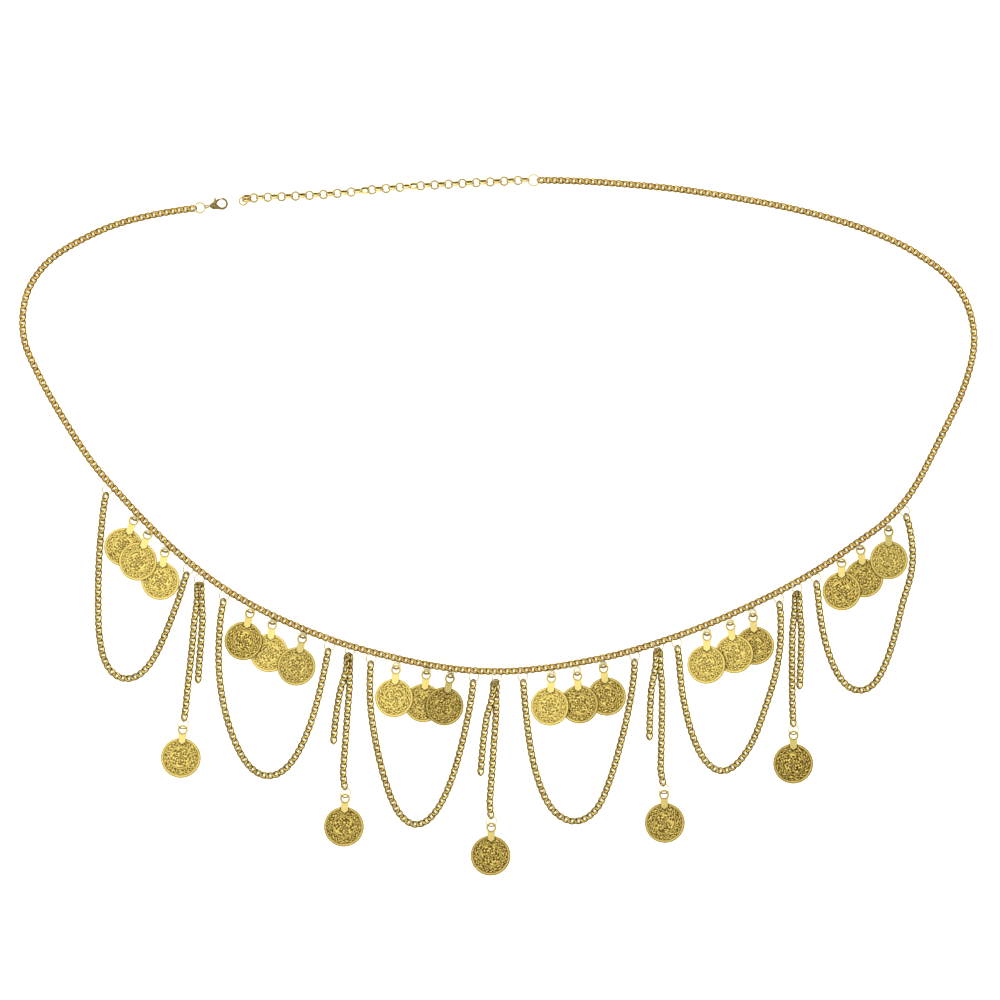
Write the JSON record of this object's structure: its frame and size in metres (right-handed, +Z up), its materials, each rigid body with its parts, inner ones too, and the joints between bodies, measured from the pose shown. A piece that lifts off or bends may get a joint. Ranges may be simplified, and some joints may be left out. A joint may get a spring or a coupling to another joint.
{
  "type": "coin waist chain",
  "caption": "Waist chain of gold-coloured curb links laid flat, with chain swags, folded chain drops, hanging coins, a lobster clasp and an extender of round links.",
  "frame": {"origin": "centre of the footprint, on the surface that the chain lies on", "axes": "+X to the viewer's right along the longest side, from the clasp to the extender's ring; +Y away from the viewer, from the coins to the clasp; +Z up from the surface"},
  "size_m": [0.4871, 0.3563, 0.005],
  "materials": {
    "antique_gold": "antiqued gold plating, dark in the gaps of the links",
    "pale_gold": "bright pale gold plating",
    "coin_gold": "antiqued pale gold plating with dark recesses",
    "dark_bronze": "dark antiqued bronze plating"
  },
  "bodies": {
    "chain": {"waist_chain": "antique_gold", "swag_1": "antique_gold", "swag_1_ring_left": "pale_gold", "swag_1_ring_right": "pale_gold", "swag_2": "antique_gold", "swag_2_ring_left": "pale_gold", "swag_2_ring_right": "pale_gold", "swag_3": "antique_gold", "swag_3_ring_left": "pale_gold", "swag_3_ring_right": "pale_gold", "swag_4": "antique_gold", "swag_4_ring_left": "pale_gold", "swag_4_ring_right": "pale_gold", "swag_5": "antique_gold", "swag_5_ring_left": "pale_gold", "swag_5_ring_right": "pale_gold", "swag_6": "antique_gold", "swag_6_ring_left": "pale_gold", "swag_6_ring_right": "pale_gold", "drop_chain_1": "antique_gold", "drop_chain_2": "antique_gold", "drop_chain_3": "antique_gold", "drop_chain_4": "antique_gold", "drop_chain_5": "antique_gold", "drop_ring_1": "pale_gold", "drop_ring_2": "pale_gold", "drop_ring_3": "pale_gold", "drop_ring_4": "pale_gold", "drop_ring_5": "pale_gold", "clasp_ring": "pale_gold", "extender_ring": "pale_gold", "extender": "antique_gold", "clasp_body": "dark_bronze"},
    "coins_1": {"coin_1_1": "coin_gold", "coin_1_2": "coin_gold", "coin_1_3": "coin_gold"},
    "coins_2": {"coin_2_1": "coin_gold", "coin_2_2": "coin_gold", "coin_2_3": "coin_gold"},
    "coins_3": {"coin_3_1": "coin_gold", "coin_3_2": "coin_gold", "coin_3_3": "coin_gold"},
    "coins_4": {"coin_4_1": "coin_gold", "coin_4_2": "coin_gold", "coin_4_3": "coin_gold"},
    "coins_5": {"coin_5_1": "coin_gold", "coin_5_2": "coin_gold", "coin_5_3": "coin_gold"},
    "coins_6": {"coin_6_1": "coin_gold", "coin_6_2": "coin_gold", "coin_6_3": "coin_gold"},
    "end_coin_1": {"drop_coin_1": "coin_gold"},
    "end_coin_2": {"drop_coin_2": "coin_gold"},
    "end_coin_3": {"drop_coin_3": "coin_gold"},
    "end_coin_4": {"drop_coin_4": "coin_gold"},
    "end_coin_5": {"drop_coin_5": "coin_gold"},
    "clasp_gate": {"clasp_lever": "dark_bronze"}
  },
  "joints": [
    {"name": "coins_1_lift", "type": "hinge", "parent": "chain", "child": "coins_1", "pos_m": [-0.17716, -0.00426, 0.00282], "axis": [-0.7068, 0.7074, 0], "range_deg": [0, 110]},
    {"name": "coins_2_lift", "type": "hinge", "parent": "chain", "child": "coins_2", "pos_m": [-0.11318, -0.04925, 0.00248], "axis": [-0.9068, 0.4216, 0], "range_deg": [0, 110]},
    {"name": "coins_3_lift", "type": "hinge", "parent": "chain", "child": "coins_3", "pos_m": [-0.03746, -0.07312, 0.00281], "axis": [-0.9833, 0.1821, 0], "range_deg": [0, 110]},
    {"name": "coins_4_lift", "type": "hinge", "parent": "chain", "child": "coins_4", "pos_m": [0.04, -0.07261, 0.00265], "axis": [-0.9841, -0.1779, 0], "range_deg": [0, 110]},
    {"name": "coins_5_lift", "type": "hinge", "parent": "chain", "child": "coins_5", "pos_m": [0.11748, -0.04853, 0.00281], "axis": [-0.9152, -0.403, 0], "range_deg": [0, 110]},
    {"name": "coins_6_lift", "type": "hinge", "parent": "chain", "child": "coins_6", "pos_m": [0.1853, -0.01005, 0.00273], "axis": [-0.8157, -0.5784, 0], "range_deg": [0, 110]},
    {"name": "end_coin_1_lift", "type": "hinge", "parent": "chain", "child": "end_coin_1", "pos_m": [-0.15992, -0.0987, 0.00122], "axis": [-0.9976, 0.0698, 0], "range_deg": [0, 94]},
    {"name": "end_coin_2_lift", "type": "hinge", "parent": "chain", "child": "end_coin_2", "pos_m": [-0.07763, -0.13357, 0.00122], "axis": [-0.999, 0.0436, 0], "range_deg": [0, 94]},
    {"name": "end_coin_3_lift", "type": "hinge", "parent": "chain", "child": "end_coin_3", "pos_m": [-0.00348, -0.14826, 0.00122], "axis": [-0.9997, 0.0262, 0], "range_deg": [0, 94]},
    {"name": "end_coin_4_lift", "type": "hinge", "parent": "chain", "child": "end_coin_4", "pos_m": [0.08398, -0.13166, 0.00122], "axis": [-0.9997, -0.0262, 0], "range_deg": [0, 94]},
    {"name": "end_coin_5_lift", "type": "hinge", "parent": "chain", "child": "end_coin_5", "pos_m": [0.14987, -0.10155, 0.00122], "axis": [-1, 0.0087, 0], "range_deg": [0, 94]},
    {"name": "clasp_gate_open", "type": "hinge", "parent": "chain", "child": "clasp_gate", "pos_m": [-0.14411, 0.1632, 0.0009], "axis": [0, 0, -1], "range_deg": [0, 22], "stiffness_Nm_per_rad": 0.0002, "springref_deg": -20.05}
  ]
}
